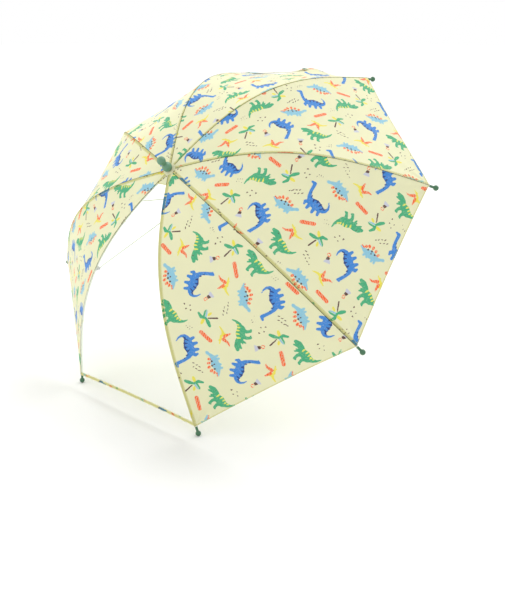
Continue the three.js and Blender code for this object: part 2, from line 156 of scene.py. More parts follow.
def sweep(path, wide, high, binormal, sides=24):
    # an oval section carried along a path; `high` is its half height across the binormal
    path = np.asarray(path, float)
    tangent = np.gradient(path, axis=0)
    tangent /= np.linalg.norm(tangent, axis=1)[:, None]
    across = np.broadcast_to(np.asarray(binormal, float), path.shape)
    normal = np.cross(tangent, across)
    turn = np.linspace(0, 2 * np.pi, sides, endpoint=False)
    wide = np.broadcast_to(wide, len(path))[:, None, None]
    high = np.broadcast_to(high, len(path))[:, None, None]
    offset = (
        high * np.cos(turn)[None, :, None] * normal[:, None, :]
        + wide * np.sin(turn)[None, :, None] * across[:, None, :]
    )
    rings = path[:, None, :] + offset
    return closedTube(rings[:, ::-1], path[0], path[-1])


def turned(profile, origin, axis, across, sides=48, ring=False):
    # a profile of [radius, height] rows turned about an axis from an origin
    radius, height = np.asarray(profile, float).T
    axis, across = np.asarray(axis, float), np.asarray(across, float)
    other = np.cross(axis, across)
    turn = np.linspace(0, 2 * np.pi, sides, endpoint=False)
    way = np.cos(turn)[:, None] * across + np.sin(turn)[:, None] * other
    if ring:
        rings = origin + height[:, None, None] * axis + radius[:, None, None] * way
        return closedRing(rings)
    rings = origin + height[1:-1, None, None] * axis + radius[1:-1, None, None] * way
    return closedTube(rings, origin + height[0] * axis, origin + height[-1] * axis)


def meridian(s, out=0.0):
    # points of a rib's line in its own plane
    radius, z = ribAt(s, out)
    return np.stack([radius, np.zeros_like(radius), z], -1)


def outlineOf(radius, height):
    # rows of [radius, height] for `turned`, either of them one number for all rows
    return np.stack(np.broadcast_arrays(radius, height), -1).astype(float)


def meshFrom(name, points, quads, triangles, sharp=None):
    mesh = bpy.data.meshes.new(name)
    corners = np.concatenate([quads.ravel(), triangles.ravel()]).astype(np.int32)
    sizes = np.concatenate([np.full(len(quads), 4), np.full(len(triangles), 3)])
    mesh.vertices.add(len(points))
    mesh.vertices.foreach_set("co", np.ascontiguousarray(points, np.float32).ravel())
    mesh.loops.add(len(corners))
    mesh.loops.foreach_set("vertex_index", corners)
    mesh.polygons.add(len(sizes))
    mesh.polygons.foreach_set("loop_start", (np.cumsum(sizes) - sizes).astype(np.int32))
    mesh.polygons.foreach_set("use_smooth", np.ones(len(sizes), bool))
    mesh.update(calc_edges=True)
    if sharp is not None:
        mesh.set_sharp_from_angle(angle=np.radians(sharp))
    obj = bpy.data.objects.new(name, mesh)
    bpy.context.scene.collection.objects.link(obj)
    return obj


def pieceFrom(name, shells, azimuth=0.0, sharp=40):
    # one piece from shells in the umbrella's frame
    starts = np.cumsum([0] + [len(points) for points, quads, triangles in shells[:-1]])
    points = np.concatenate([shell[0] for shell in shells])
    quads = np.concatenate([shell[1] + start for shell, start in zip(shells, starts)])
    triangles = np.concatenate([shell[2] + start for shell, start in zip(shells, starts)])
    return meshFrom(name, placed(points, azimuth), quads, triangles, sharp)


def finishPiece(piece, body, material, slot, *nodes):
    piece.data.materials.append(material)
    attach(piece, body)
    if nodes:
        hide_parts(*nodes)
    return piece


# Node trees for cloth, film, plastic and paint.
def feed(tree, value, socket):
    if isinstance(value, bpy.types.NodeSocket):
        tree.links.new(value, socket)
    else:
        socket.default_value = value


def mathOf(tree, operation, first, second=0.0):
    node = tree.nodes.new("ShaderNodeMath")
    node.operation = operation
    feed(tree, first, node.inputs[0])
    feed(tree, second, node.inputs[1])
    return node.outputs[0]


def mixOf(tree, factor, first, second, blend="MIX"):
    node = tree.nodes.new("ShaderNodeMix")
    node.data_type = "RGBA"
    node.blend_type = blend
    feed(tree, factor, node.inputs[0])
    feed(tree, first, node.inputs[6])
    feed(tree, second, node.inputs[7])
    return node.outputs[2]


def noiseOf(tree, scale, detail=2.0, stretch=None):
    place = tree.nodes.new("ShaderNodeTexCoord").outputs["Object"]
    if stretch is not None:
        mapping = tree.nodes.new("ShaderNodeMapping")
        mapping.inputs["Scale"].default_value = stretch
        tree.links.new(place, mapping.inputs["Vector"])
        place = mapping.outputs[0]
    node = tree.nodes.new("ShaderNodeTexNoise")
    node.inputs["Scale"].default_value = scale
    node.inputs["Detail"].default_value = detail
    tree.links.new(place, node.inputs["Vector"])
    return node.outputs[0]


def rampOf(tree, value, low, high):
    node = tree.nodes.new("ShaderNodeMapRange")
    for number, setting in enumerate((value, low, high, 0.0, 1.0)):
        feed(tree, setting, node.inputs[number])
    return node.outputs[0]


def bumpOf(tree, height, strength, distance):
    node = tree.nodes.new("ShaderNodeBump")
    node.inputs["Strength"].default_value = strength
    node.inputs["Distance"].default_value = distance
    tree.links.new(height, node.inputs["Height"])
    return node.outputs[0]


def srgb(red, green, blue):
    # a colour given as 0 to 255 screen values, as linear light
    value = np.array([red, green, blue]) / 255
    linear = np.where(value <= 0.04045, value / 12.92, ((value + 0.055) / 1.055) ** 2.4)
    return (*map(float, linear), 1.0)


def newMaterial(name, roughness):
    material = bpy.data.materials.new(name)
    material.use_nodes = True
    shader = material.node_tree.nodes["Principled BSDF"]
    shader.inputs["Roughness"].default_value = roughness
    return material, material.node_tree, shader


cloth = {
    "ground": srgb(235, 234, 198),
    # the doubled cloth beside each seam is painted darker: painted shade for the light that shines through
    # less where the cloth is doubled
    "seam": srgb(228, 226, 184),
    "hem": srgb(236, 233, 188),
    "thread": srgb(238, 236, 196),
    # painted shade: a dark line in the crease at each seam, standing for the shadow beside the seam's ridge
    "paintedCreaseShade": srgb(132, 138, 92),
    "paintedCreaseShadeWidth": 0.9,  # mm, the dark line of painted shade in the crease where two gores meet
    "seamBand": 5.6,  # mm, doubled cloth beside a seam, painted darker as shade for the light it holds back
    "farBand": 1.4,  # mm, the same painted shade on the seam's other side
    "hemBand": 2.2,
    "stitchLine": 4.6,  # mm from the seam
    "stitch": 3.0,  # mm from one stitch to the next
    "stitchShare": 0.68,  # of that length is thread, the rest a gap
    "threadHalf": 0.35,  # mm, half the thread's width
    "hemStitch": 0.8,  # mm from the hem band's inner edge, towards the hem
    "letThrough": 0.24,
    "weave": 900.0,  # radians in a metre, so one wave in 7 mm: coarser than real thread
}
inks = {
    "lilac": srgb(206, 208, 222),
    "sky": srgb(150, 205, 224),
    "yellow": srgb(238, 228, 92),
    "green": srgb(76, 182, 132),
    "blue": srgb(66, 142, 218),
    "orange": srgb(246, 110, 54),
    "lemon": srgb(240, 234, 110),
    "navy": srgb(48, 74, 140),
    "brown": srgb(98, 66, 62),
}
inkNames = list(inks)
chalk = {"streaks": 420.0, "streakFade": 0.16, "hatch": 110.0, "hatchFade": 0.45}


def inkLayers(tree, colour):
    # each ink lies where its distance, stored on the mesh, is below nought; it is laid on like
    # chalk, so thin streaks of the ground show through
    streaks = rampOf(tree, noiseOf(tree, chalk["streaks"], 3.0, (1.0, 0.35, 1.0)), 0.5, 0.68)
    laid = mathOf(tree, "MULTIPLY", streaks, chalk["streakFade"])
    laid = mathOf(tree, "SUBTRACT", 1.0, laid)
    hatch = tree.nodes.new("ShaderNodeTexWave")
    hatch.bands_direction = "DIAGONAL"
    hatch.inputs["Scale"].default_value = chalk["hatch"]
    hatch.inputs["Distortion"].default_value = 5.0
    hatch.inputs["Detail"].default_value = 1.0
    hatch.inputs["Detail Scale"].default_value = 2.0
    uv = tree.nodes.new("ShaderNodeUVMap")
    uv.uv_map = "clothMap"
    tree.links.new(uv.outputs[0], hatch.inputs["Vector"])
    lines = rampOf(tree, hatch.outputs["Fac"], 0.55, 0.8)
    hatched = mathOf(tree, "MULTIPLY", lines, chalk["hatchFade"])
    hatched = mathOf(tree, "SUBTRACT", 1.0, hatched)
    for start in range(0, len(inkNames), 3):
        stored = tree.nodes.new("ShaderNodeAttribute")
        stored.attribute_name = f"inks{start // 3}"
        split = tree.nodes.new("ShaderNodeSeparateXYZ")
        tree.links.new(stored.outputs["Vector"], split.inputs[0])
        for number, ink in enumerate(inkNames[start : start + 3]):
            covered = mathOf(tree, "LESS_THAN", split.outputs[number], 0.0)
            share = mathOf(tree, "MULTIPLY", covered, hatched if ink == "orange" else laid)
            colour = mixOf(tree, share, colour, inks[ink])
    return colour


def seamLayers(tree, colour):
    # seam and hem bands from the distances, in millimetres, stored on the mesh: painted shade on the doubled
    # cloth beside each seam and in the seam's crease, the hem band and the stitches
    stored = tree.nodes.new("ShaderNodeAttribute")
    stored.attribute_name = "edges"
    split = tree.nodes.new("ShaderNodeSeparateXYZ")
    tree.links.new(stored.outputs["Vector"], split.inputs[0])
    left, right, hem = split.outputs
    # painted shade on the doubled cloth beside each seam, where less light shines through
    doubledShade = mathOf(tree, "LESS_THAN", left, cloth["seamBand"])
    far = mathOf(tree, "LESS_THAN", right, cloth["farBand"])
    doubledShade = mathOf(tree, "MAXIMUM", doubledShade, far)
    colour = mixOf(tree, doubledShade, colour, cloth["seam"], "MULTIPLY")
    hemmed = mathOf(tree, "LESS_THAN", hem, cloth["hemBand"])
    colour = mixOf(tree, hemmed, colour, cloth["hem"], "MULTIPLY")
    # painted shade: a dark line along the crease where two gores meet
    shadedCrease = mathOf(tree, "LESS_THAN", right, cloth["paintedCreaseShadeWidth"])
    colour = mixOf(tree, shadedCrease, colour, cloth["paintedCreaseShade"], "MULTIPLY")
    offLine = mathOf(tree, "ABSOLUTE", mathOf(tree, "SUBTRACT", left, cloth["stitchLine"]))
    onLine = mathOf(tree, "LESS_THAN", offLine, cloth["threadHalf"])
    hemLine = cloth["hemBand"] - cloth["hemStitch"]
    offHem = mathOf(tree, "ABSOLUTE", mathOf(tree, "SUBTRACT", hem, hemLine))
    alongSeam = mathOf(tree, "FRACT", mathOf(tree, "DIVIDE", hem, cloth["stitch"]))
    alongHem = mathOf(tree, "FRACT", mathOf(tree, "DIVIDE", left, cloth["stitch"]))
    sewnSeam = mathOf(tree, "LESS_THAN", alongSeam, cloth["stitchShare"])
    onSeam = mathOf(tree, "MULTIPLY", onLine, sewnSeam)
    onHem = mathOf(
        tree,
        "MULTIPLY",
        mathOf(tree, "LESS_THAN", offHem, cloth["threadHalf"]),
        mathOf(tree, "LESS_THAN", alongHem, cloth["stitchShare"]),
    )
    stitches = mathOf(tree, "MAXIMUM", onSeam, onHem)
    return mixOf(tree, stitches, colour, cloth["thread"]), stitches


def weaveOf(tree):
    # two crossed sets of waves on the cloth's own map, standing for a plain weave
    heights = []
    for direction in ("X", "Y"):
        wave = tree.nodes.new("ShaderNodeTexWave")
        wave.bands_direction = direction
        wave.inputs["Scale"].default_value = cloth["weave"] / 20
        wave.inputs["Distortion"].default_value = 0.6
        wave.inputs["Detail"].default_value = 1.0
        uv = tree.nodes.new("ShaderNodeUVMap")
        uv.uv_map = "clothMap"
        tree.links.new(uv.outputs[0], wave.inputs["Vector"])
        heights.append(wave.outputs["Fac"])
    return mathOf(tree, "MULTIPLY", *heights)


def clothMaterial(name, printed=True):
    material, tree, shader = newMaterial(name, 0.72)
    patches = rampOf(tree, noiseOf(tree, 9.0, 3.0), 0.3, 0.75)
    lighter = tuple(0.97 * value for value in cloth["ground"][:3]) + (1.0,)
    colour = mixOf(tree, patches, cloth["ground"], lighter)
    weave = weaveOf(tree)
    if printed:
        colour, stitches = seamLayers(tree, inkLayers(tree, colour))
        weave = mathOf(tree, "ADD", weave, mathOf(tree, "MULTIPLY", stitches, 3.0))
    tree.links.new(colour, shader.inputs["Base Color"])
    shader.inputs["Sheen Weight"].default_value = 0.12
    shader.inputs["Sheen Roughness"].default_value = 0.4
    bump = bumpOf(tree, weave, 0.25, 0.0001)
    tree.links.new(bump, shader.inputs["Normal"])
    through = tree.nodes.new("ShaderNodeBsdfTranslucent")
    tree.links.new(colour, through.inputs["Color"])
    tree.links.new(bump, through.inputs["Normal"])
    blend = tree.nodes.new("ShaderNodeMixShader")
    blend.inputs[0].default_value = cloth["letThrough"]
    tree.links.new(shader.outputs[0], blend.inputs[1])
    tree.links.new(through.outputs[0], blend.inputs[2])
    tree.links.new(blend.outputs[0], tree.nodes["Material Output"].inputs["Surface"])
    return material


def filmMaterial():
    material, tree, shader = newMaterial("clearFilm", 0.12)
    haze = rampOf(tree, noiseOf(tree, 14.0, 2.0), 0.35, 0.8)
    colour = mixOf(tree, haze, srgb(250, 252, 250), srgb(240, 246, 242))
    tree.links.new(colour, shader.inputs["Base Color"])
    shader.inputs["Alpha"].default_value = 0.1
    shader.inputs["IOR"].default_value = 1.4
    tree.links.new(bumpOf(tree, noiseOf(tree, 22.0, 1.0), 0.2, 0.0008), shader.inputs["Normal"])
    return material


def plasticMaterial(name, colour, roughness, coat=0.0, grain=0.15, shade=0.9):
    # moulded plastic: a fine grain, soft patches of colour and a little dirt in the patches
    material, tree, shader = newMaterial(name, roughness)
    darker = tuple(shade * value for value in colour[:3]) + (1.0,)
    patches = rampOf(tree, noiseOf(tree, 60.0, 4.0), 0.35, 0.7)
    tree.links.new(mixOf(tree, patches, colour, darker), shader.inputs["Base Color"])
    spread = mathOf(tree, "MULTIPLY", noiseOf(tree, 240.0, 2.0), 0.12)
    rough = mathOf(tree, "ADD", spread, roughness - 0.06)
    tree.links.new(rough, shader.inputs["Roughness"])
    shader.inputs["Coat Weight"].default_value = coat
    shader.inputs["Coat Roughness"].default_value = 0.2
    tree.links.new(bumpOf(tree, noiseOf(tree, 1400.0, 2.0), grain, 0.00005), shader.inputs["Normal"])
    return material


def paintMaterial(name, colour, metal):
    # paint or plating on wire and tube: drawn along the wire, with small rubs
    material, tree, shader = newMaterial(name, 0.38)
    rubs = rampOf(tree, noiseOf(tree, 90.0, 5.0), 0.62, 0.7)
    worn = tuple(0.8 * value for value in colour[:3]) + (1.0,)
    tree.links.new(mixOf(tree, rubs, colour, worn), shader.inputs["Base Color"])
    shader.inputs["Metallic"].default_value = metal
    spread = mathOf(tree, "MULTIPLY", noiseOf(tree, 500.0, 2.0), 0.15)
    rough = mathOf(tree, "ADD", spread, 0.28)
    tree.links.new(rough, shader.inputs["Roughness"])
    tree.links.new(bumpOf(tree, noiseOf(tree, 900.0, 2.0), 0.12, 0.00004), shader.inputs["Normal"])
    return material


printedCloth = clothMaterial("printedCloth")
plainCloth = clothMaterial("plainCloth", printed=False)
clearFilm = filmMaterial()
sagePlastic = plasticMaterial("sagePlastic", srgb(96, 142, 113), 0.42, coat=0.15)
gripPlastic = plasticMaterial("gripPlastic", srgb(92, 146, 112), 0.36, coat=0.3)
tipPlastic = plasticMaterial("tipPlastic", srgb(58, 106, 74), 0.4, coat=0.1)
whitePlastic = plasticMaterial("whitePlastic", srgb(228, 232, 220), 0.45)
rodPaint = paintMaterial("rodPaint", srgb(242, 250, 234), 0.0)
shaftPaint = paintMaterial("shaftPaint", srgb(214, 217, 214), 0.55)
brightWire = paintMaterial("brightWire", srgb(196, 198, 200), 1.0)
print("materials made")

# The print: small flat pictures, each a list of inked shapes in millimetres.
# bar: corners with a radius each. oval: centre, half sizes, turn. wedge: a convex outline.
# ring: centre, radius, half width.
motifs = {
    "longNeck": [
        ("blue", "bar", ((-38, -23.6, 2.2), (-36.5, -17.6, 3.3), (-21, -18.5, 2.9), (-11, -17.2, 3.5))),
        ("blue", "bar", ((-11, -17.2, 3.5), (-3.5, -11, 7), (-1.5, 0, 9), (1.5, 9, 7), (3, 16, 4.6))),
        ("blue", "bar", ((3, 16, 4.6), (1.4, 21, 3.2), (-4, 24, 2.2), (-10, 23.4, 1.6), (-16.5, 20, 0.9))),
        ("blue", "bar", ((3, 10, 3.6), (14, 10.5, 2.6))),
        ("blue", "bar", ((3, 1, 4.2), (14, -0.8, 2.6))),
        ("blue", "bar", ((2, -10, 4), (10.5, -12.5, 2.6))),
        ("blue", "bar", ((-2, -14, 4), (0.5, -20, 3), (5.5, -19.8, 2))),
        ("navy", "bar", ((-1, 15, 1.3), (3.2, 10.5, 0.9))),
        ("navy", "bar", ((-6, 9, 1.9), (-1.2, 6, 0.8))),
        ("navy", "bar", ((-9.3, 1.5, 1.9), (-4.3, 0.5, 0.8))),
        ("navy", "bar", ((-8.6, -7, 1.9), (-3.6, -6, 0.8))),
        ("navy", "bar", ((-14, -13, 1.5), (-10.8, -12.6, 1.0))),
        ("navy", "bar", ((-20.5, -16, 1.2), (-18, -16, 1.0))),
        ("navy", "bar", ((-2, 20.4, 1.2), (0.8, 17, 0.9))),
        ("navy", "bar", ((-1.4, 17, 0.8), (-4.5, 11.5, 1), (-8.4, 5, 1), (-9.9, -1, 1), (-9.4, -7, 1))),
    ],
    "bigJaw": [
        ("green", "bar", ((1.5, 25, 3.3), (4, 18, 5.2), (4, 10, 5.6), (1.5, 2, 6.2), (3, -6, 8.6))),
        ("green", "bar", ((3, -6, 8.6), (3.5, -14, 7.6), (9, -22, 3.8), (15, -26.4, 2), (23, -27.8, 1))),
        ("green", "bar", ((2, 14, 3.4), (-4.6, 21.5, 1.5))),
        ("green", "bar", ((1, 5, 2.6), (-5, 7.5, 1.8), (-9.6, 9.6, 1.5))),
        ("green", "bar", ((-2, 8, 1.8), (-5.4, 12, 1.2))),
        ("green", "bar", ((-1, -2, 4.4), (-9, 0.2, 3), (-16.5, -2, 2.5), (-15.8, -5, 1.7))),
        ("green", "bar", ((1, -13, 4.4), (-7, -11.5, 3), (-13.5, -14, 2.5), (-14, -17, 1.7))),
        ("lemon", "bar", ((6.6, 3.2, 1.8), (0.6, 2.3, 0.9))),
        ("lemon", "bar", ((10, -4, 1.8), (4.8, -4.2, 0.9))),
        ("lemon", "bar", ((9.8, -10.4, 1.8), (5.6, -10.8, 0.9))),
        ("lemon", "bar", ((9.4, -16, 1.8), (5.8, -16.6, 0.9))),
        ("lemon", "bar", ((12, -21, 1.6), (9.2, -20.6, 0.9))),
        ("brown", "oval", (6.3, 15.5, 1.3, 1.3, 0)),
    ],
    "plateBack": [
        ("sky", "oval", (-2.6, 23, 3.1, 4.2, 8)),
        ("sky", "bar", ((-2, 21, 2.2), (1, 15, 3.4), (1.5, 8, 5.6), (-0.5, -2, 8), (-0.5, -10, 6.2))),
        ("sky", "bar", ((-0.5, -10, 6.2), (-3, -18, 3.4), (-7, -25.5, 1.2))),
        ("sky", "bar", ((2, 9, 3), (11, 9.6, 1.9))),
        ("sky", "bar", ((2, 5, 3), (10.6, 3.4, 1.9))),
        ("sky", "bar", ((0, -7, 3), (8, -7.6, 1.9))),
        ("sky", "bar", ((0, -12, 3), (6.8, -14.6, 2))),
        ("orange", "oval", (-5.8, 11.1, 3.6, 2.5, -35)),
        ("orange", "oval", (-10.2, 4.7, 3.8, 2.5, -15)),
        ("orange", "oval", (-13.6, -2.2, 3.8, 2.6, 0)),
        ("orange", "oval", (-13, -10, 3.8, 2.6, 25)),
        ("orange", "oval", (-10.2, -15.6, 3.4, 2.3, 42)),
        ("orange", "oval", (-6.8, -19.4, 2.1, 1.7, 40)),
        ("orange", "oval", (-8.5, -23.6, 2.2, 1.5, 55)),
        ("brown", "oval", (-3.6, 5.3, 2.1, 1.9, 0)),
        ("brown", "oval", (-7.1, -2.4, 2.1, 1.9, 0)),
        ("brown", "oval", (-2.2, -2.2, 1.6, 1.6, 0)),
        ("brown", "oval", (-6.3, -10.2, 2.1, 1.9, 0)),
    ],
    "flyer": [
        ("yellow", "bar", ((-1, -4, 3), (-3.3, -11, 2), (-3, -16, 1.5), (-2.4, -21, 0.9))),
        ("yellow", "bar", ((3, -4, 2.5), (8, 2, 1.7), (12.5, 7.6, 1.2))),
        ("yellow", "bar", ((8, 1, 1.3), (11, 0.8, 1))),
        ("yellow", "bar", ((-6, -2.4, 1.5), (-3, -6, 1.8))),
        ("orange", "bar", ((-1.2, 20.5, 0.8), (-2, 13, 1.9), (2.5, 3.5, 3.3))),
        ("orange", "bar", ((-14.5, 0, 0.9), (-9, -0.4, 2.2), (-2.5, -0.6, 3.2))),
    ],
    "palm": [
        ("brown", "bar", ((-22, -3.8, 1.5), (-6, 0.7, 1.2))),
        ("yellow", "oval", (2.8, 8.6, 2.9, 7, -12)),
        ("yellow", "oval", (-6.2, -7.1, 2.4, 5, -38)),
        ("green", "bar", ((-1.5, 1.5, 1.8), (-7.5, 8, 3.5), (-12, 14, 2.6))),
        ("green", "bar", ((1, 2.4, 1.6), (7.5, 1.5, 3.1), (14, -4.4, 2))),
        ("green", "bar", ((3, -1, 1.8), (3, -10, 1.6), (1.6, -14, 0.9))),
        ("sky", "bar", ((-1, 1, 1.2), (-0.8, -6, 1.5), (0.2, -13, 0.9))),
    ],
    "log": [
        ("orange", "bar", ((-11.8, 0, 3.5), (11.8, 0.4, 3.5))),
    ],
    "volcano": [
        ("lilac", "wedge", ((-7, 8.6), (-11.6, -5), (-3.6, -3.6), (-3, 4))),
        ("brown", "wedge", ((-3.2, 4), (2.4, 0.6), (0, -4.6), (-4.2, -3.4))),
        ("orange", "ring", (5.2, -2.8, 2.9, 0.9)),
    ],
    "tracks": [
        ("brown", "wedge", ((-10.4, -3.8), (-6, -4.6), (-7.4, 0.4))),
        ("brown", "wedge", ((-2.4, 4.4), (1.8, 3), (0.2, 7.4))),
        ("brown", "wedge", ((-1.2, -5.4), (3.2, -6), (1.6, -2))),
        ("brown", "wedge", ((5.6, 1), (9.8, 0), (8.4, 4.2))),
    ],
    "marks": [
        ("brown", "bar", ((-13, 3, 0.9), (-9.6, 4.4, 0.9))),
        ("brown", "bar", ((-6, 2.4, 0.9), (-3, 4.6, 0.9))),
        ("brown", "bar", ((0.6, 3.4, 0.9), (3.8, 3.2, 0.9))),
        ("brown", "bar", ((-9, -3.6, 0.9), (-6, -2, 0.9))),
        ("brown", "bar", ((-2.4, -2.8, 0.9), (0.8, -3.4, 0.9))),
        ("brown", "bar", ((4.2, -3.6, 0.9), (7.4, -2, 0.9))),
        ("brown", "bar", ((10.6, -2.6, 0.9), (13, -2.2, 0.9))),
    ],
    "ticks": [
        ("brown", "bar", ((-4, 4.4, 0.7), (-2.2, 5.4, 0.7))),
        ("brown", "bar", ((1.6, 4.2, 0.7), (3.6, 5, 0.7))),
        ("brown", "bar", ((-4.4, -0.4, 0.7), (-2.4, 0.6, 0.7))),
        ("brown", "bar", ((1.2, -0.6, 0.7), (3.2, 0.4, 0.7))),
        ("brown", "bar", ((-3.8, -5, 0.7), (-1.8, -4, 0.7))),
        ("brown", "bar", ((2, -5.2, 0.7), (3.8, -4.4, 0.7))),
    ],
}
# one repeat of the print: picture, x, y and turn in degrees; its copies step across and up
repeatAcross, repeatUp = np.array([177.5, 3.2]), np.array([6.0, 183.0])
layout = [
    ("longNeck", -91.7, -350.0, 0),
    ("longNeck", -31.7, -250.0, 148),
    ("bigJaw", 83.3, -275.0, 0),
    ("bigJaw", -1.0, -380.0, 138),
    ("plateBack", -61.7, -216.7, 0),
    ("plateBack", 37.7, -320.0, 167),
    ("flyer", 18.3, -281.7, 0),
    ("flyer", -29.0, -365.0, 178),
    ("palm", 63.3, -231.7, 0),
    ("palm", -40.0, -316.7, 136),
    ("log", 48.3, -267.7, 72),
    ("log", -57.3, -348.3, -74),
    ("volcano", 24.0, -229.0, 0),
    ("volcano", -18.3, -288.3, 205),
    ("tracks", 44.0, -203.0, 0),
    ("tracks", -59.3, -284.7, -90),
    ("marks", 0.0, -321.7, 53),
    ("marks", -100.0, -393.0, -63),
    ("ticks", -74.3, -317.7, 10),
    ("ticks", 34.0, -361.7, -12),
]


def barDistance(points, corners):
    # the least distance to the tapered bars between the corners
    distances = []
    for first, second in zip(corners, corners[1:]):
        start, way = np.array(first[:2], float), np.subtract(second[:2], first[:2]).astype(float)
        share = np.clip((points - start) @ way / (way @ way), 0, 1)
        away = points - start - share[:, None] * way
        distances.append(np.hypot(*away.T) - first[2] - (second[2] - first[2]) * share)
    return np.min(distances, axis=0)


def ovalDistance(points, oval):
    # the distance to an oval, taken from the unit circle that it is squeezed from
    x, y, wide, high, turn = oval
    turn = np.radians(turn)
    dx, dy = points[:, 0] - x, points[:, 1] - y
    along = (dx * np.cos(turn) + dy * np.sin(turn)) / wide
    across = (dy * np.cos(turn) - dx * np.sin(turn)) / high
    return (np.hypot(along, across) - 1) * min(wide, high)


def wedgeDistance(points, corners):
    # the greatest distance beyond any side of a convex outline, whichever way round it runs
    corners = np.array(corners, float)
    sides = np.roll(corners, -1, axis=0) - corners
    outward = np.stack([sides[:, 1], -sides[:, 0]], -1)
    middle = corners.mean(axis=0)
    outward *= np.sign(np.sum((corners - middle) * outward, axis=1))[:, None]
    outward /= np.linalg.norm(outward, axis=1)[:, None]
    beyond = np.einsum("pcd,cd->pc", points[:, None, :] - corners, outward)
    return np.max(beyond, axis=1)


def ringDistance(points, ring):
    # the distance to a round line of a given half width
    x, y, radius, half = ring
    return np.abs(np.hypot(points[:, 0] - x, points[:, 1] - y) - radius) - half


distanceTo = {"bar": barDistance, "oval": ovalDistance, "wedge": wedgeDistance, "ring": ringDistance}
motifReach = 42.0  # mm, further than any picture goes from its middle
farAway = 9.0  # mm, the distance stored where no ink is near
repeatsEachWay = 6


def printOn(flat, shift, turnedAbout):
    # The distance from each point of the flat cloth to each ink's edge. The cloth's own place is
    # read with its second side upward, or both turned about when the gore is cut the other way.
    distances = np.full((len(flat), len(inkNames)), farAway)
    points = flat * (-1, 1) + shift if turnedAbout else flat * (1, -1) + shift
    low, high = points.min(0) - motifReach, points.max(0) + motifReach
    for column in range(-repeatsEachWay, repeatsEachWay + 1):
        for row in range(-repeatsEachWay, repeatsEachWay + 1):
            step = column * repeatAcross + row * repeatUp
            for name, x, y, angle in layout:
                centre = step + (x, y)
                if np.any(centre < low) or np.any(centre > high):
                    continue
                near = np.flatnonzero(np.max(np.abs(points - centre), axis=1) < motifReach)
                if not len(near):
                    continue
                turn = np.radians(angle)
                dx, dy = (points[near] - centre).T
                along = dx * np.cos(turn) + dy * np.sin(turn)
                local = np.stack([along, dy * np.cos(turn) - dx * np.sin(turn)], -1)
                for ink, kind, shape in motifs[name]:
                    index = inkNames.index(ink)
                    found = distanceTo[kind](local, shape)
                    distances[near, index] = np.minimum(distances[near, index], found)
    return distances


def storeVectors(mesh, name, values):
    attribute = mesh.attributes.new(name, "FLOAT_VECTOR", "POINT")
    attribute.data.foreach_set("vector", np.ascontiguousarray(values, np.float32).ravel())


def storeMap(mesh, flat):
    # the cloth's flat place, in metres, as its map
    corner = np.zeros(len(mesh.loops), np.int32)
    mesh.loops.foreach_get("vertex_index", corner)
    layer = mesh.uv_layers.new(name="clothMap")
    layer.data.foreach_set("uv", (flat[corner] * mm).astype(np.float32).ravel())


def inkCloth(piece, flat, edges, cut):
    # stores the print, the distances to the seams and hem, and the map on a piece of cloth
    distances = printOn(flat, cut[:2], cut[2])
    for start in range(0, len(inkNames), 3):
        storeVectors(piece.data, f"inks{start // 3}", distances[:, start : start + 3])
    storeVectors(piece.data, "edges", edges)
    storeMap(piece.data, flat)


def thicken(piece, thickness):
    solid = piece.modifiers.new("thickness", "SOLIDIFY")
    solid.thickness = thickness * mm
    solid.offset = 0.0
    return piece


# The printed gores.
gore = {
    "start": -1.5,  # mm along the rib's line, under the rosette
    "hem": 492.5,
    "lift": 2.55,  # mm, of the cloth over the rib's line
    "thickness": 0.34,
    "seamGap": 0.12,
    "grid": 2.1,
    "sag": 3.0,
    "hemDip": 3.5,  # how far the middle of the hem draws in
    "ridge": 0.55,
    "pucker": 0.35,
    "pull": 1.2,
    "billow": 17.0,  # mm, the loose fold in the hem of the gore opposite the window
    "past": 1.8,  # mm, cloth lapped over the clear gore's edge
    "under": 0.45,  # mm, the clear gore lies below that lap
    "keep": 0.34,  # of the open width is left when the umbrella is closed
    "foldRadius": 100.0,  # mm from the shaft, a point of the middle line it draws in to
}
hump = {"middle": -0.14, "spread": 0.27, "from": 390, "over": 102}


def humpAt(across, s):
    # a bell across the gore, growing as a square towards the hem
    bell = np.exp(-(((across - hump["middle"]) / hump["spread"]) ** 2))
    return bell * np.clip((s - hump["from"]) / hump["over"], 0, 1) ** 2


